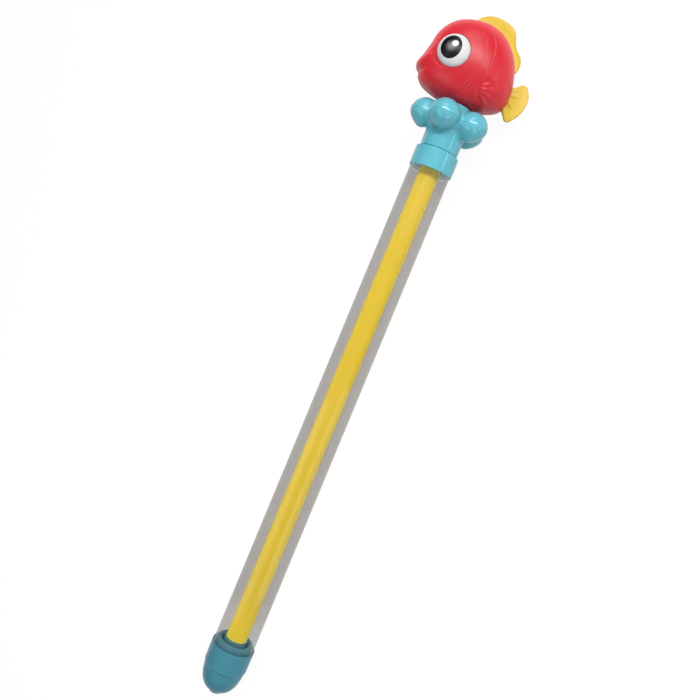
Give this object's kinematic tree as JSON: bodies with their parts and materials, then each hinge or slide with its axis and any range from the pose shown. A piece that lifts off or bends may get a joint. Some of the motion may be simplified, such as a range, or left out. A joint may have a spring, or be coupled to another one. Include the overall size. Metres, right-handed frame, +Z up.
{
  "type": "water squirter",
  "caption": "Syringe-style water squirter toy: a clear tube with a domed nozzle cap, a sliding yellow plunger rod and a red fish on a lobed teal knob as its handle.",
  "frame": {"origin": "middle of the bounding box, on the floor that the squirter lies on", "axes": "+X along the tube from the nozzle to the fish, with the tube rising 1.5 degrees, and +Z up"},
  "size_m": [0.492, 0.0774, 0.0569],
  "materials": {
    "clear_tube": "clear extruded tube, slightly smoky",
    "teal_plastic": "moulded, satin gloss",
    "yellow_plastic": "moulded, satin gloss",
    "red_plastic": "moulded, soft satin",
    "white_plastic": "moulded, glossy, with a printed dark pupil",
    "natural_plastic": "uncoloured moulding",
    "black_rubber": "smooth seal rubber",
    "zinc_steel": "zinc plated"
  },
  "bodies": {
    "barrel": {"barrel_tube": "clear_tube", "nozzle_cap": "teal_plastic", "nozzle_gasket": "black_rubber", "collar": "teal_plastic"},
    "piston": {"piston": "teal_plastic", "piston_o_ring": "black_rubber"},
    "handle": {"plunger_rod": "yellow_plastic", "rod_foot_plug": "natural_plastic", "rod_head_plug": "natural_plastic", "piston_washer": "zinc_steel", "piston_screw": "zinc_steel", "handle_screw": "zinc_steel", "coral_lower": "teal_plastic", "coral_upper": "teal_plastic", "fish_left": "red_plastic", "fish_right": "red_plastic", "eye_left": "white_plastic", "eye_right": "white_plastic", "dorsal_fin": "yellow_plastic", "tail_fin": "yellow_plastic", "fish_screw_front": "zinc_steel", "fish_screw_top": "zinc_steel", "fish_screw_rear": "zinc_steel"}
  },
  "joints": [
    {"name": "plunger_slide", "type": "slide", "parent": "barrel", "child": "piston", "axis": [0.9997, 0, 0.0263], "range_m": [0, 0.341]},
    {"name": "handle_spin", "type": "hinge", "parent": "piston", "child": "handle", "pos_m": [-0.24593, 0.00279, 0.01419], "axis": [0.9997, 0, 0.0263], "continuous": true}
  ]
}
